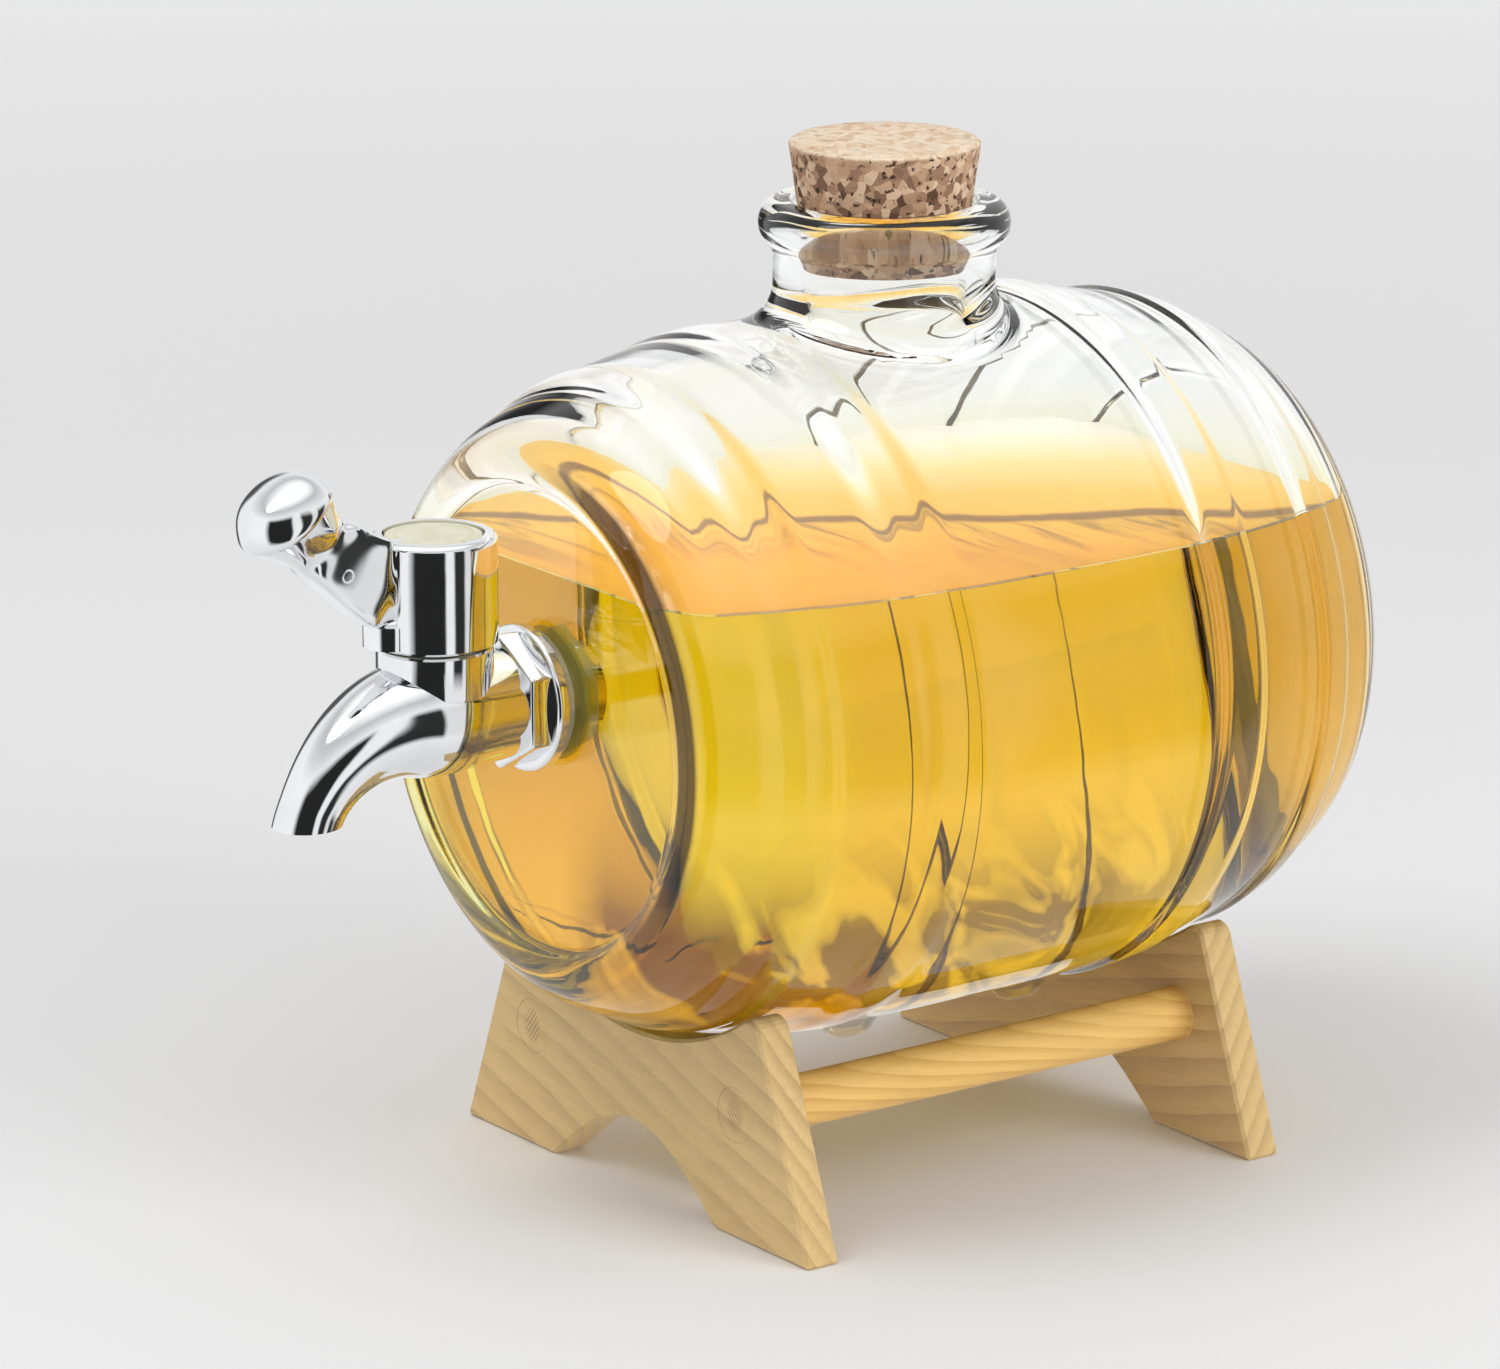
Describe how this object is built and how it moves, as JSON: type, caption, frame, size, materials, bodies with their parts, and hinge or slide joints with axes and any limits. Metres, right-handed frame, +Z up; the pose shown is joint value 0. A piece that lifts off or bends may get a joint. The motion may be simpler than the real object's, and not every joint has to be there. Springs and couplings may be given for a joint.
{
  "type": "glass barrel drink dispenser",
  "caption": "Glass barrel drink dispenser with a turning lever tap and a cork stopper, lying on a wooden trestle cradle.",
  "frame": {"origin": "on the floor, under the middle of the whole object's length and width", "axes": "+Z up, +Y along the barrel's axis away from the tap, +X to the right when the tap is seen from the front"},
  "size_m": [0.1126, 0.1858, 0.1627],
  "materials": {
    "clear_glass": "clear moulded glass",
    "pine": "plain sanded pine",
    "dowel_wood": "plain sanded dowel",
    "cork": "pressed cork granules",
    "chrome_plate": "bright plated",
    "ivory_plastic": "ivory moulded plastic",
    "silicone": "pale silicone",
    "black_rubber": "black rubber",
    "steel": "plain steel"
  },
  "bodies": {
    "stand": {"front_trestle": "pine", "rear_trestle": "pine", "left_dowel": "dowel_wood", "right_dowel": "dowel_wood"},
    "barrel": {"glass_barrel": "clear_glass", "tap_body": "chrome_plate", "outer_washer": "silicone", "inner_washer": "silicone", "shank_nut": "ivory_plastic", "gland_nut": "ivory_plastic", "thrust_washer": "silicone"},
    "handle": {"tap_handle": "chrome_plate", "cap_disc": "ivory_plastic", "handle_screw": "steel", "valve_plug": "ivory_plastic", "upper_o_ring": "black_rubber", "lower_o_ring": "black_rubber"},
    "cork": {"cork_stopper": "cork"}
  },
  "joints": [
    {"name": "barrel_lift", "type": "slide", "parent": "stand", "child": "barrel", "axis": [0, 0, 1], "range_m": [0, 0.06]},
    {"name": "tap_turn", "type": "hinge", "parent": "barrel", "child": "handle", "pos_m": [0, -0.0591, 0.084], "axis": [0, 0, 1], "range_deg": [0, 90]},
    {"name": "cork_pull", "type": "slide", "parent": "barrel", "child": "cork", "axis": [0, 0, 1], "range_m": [0, 0.03]}
  ]
}
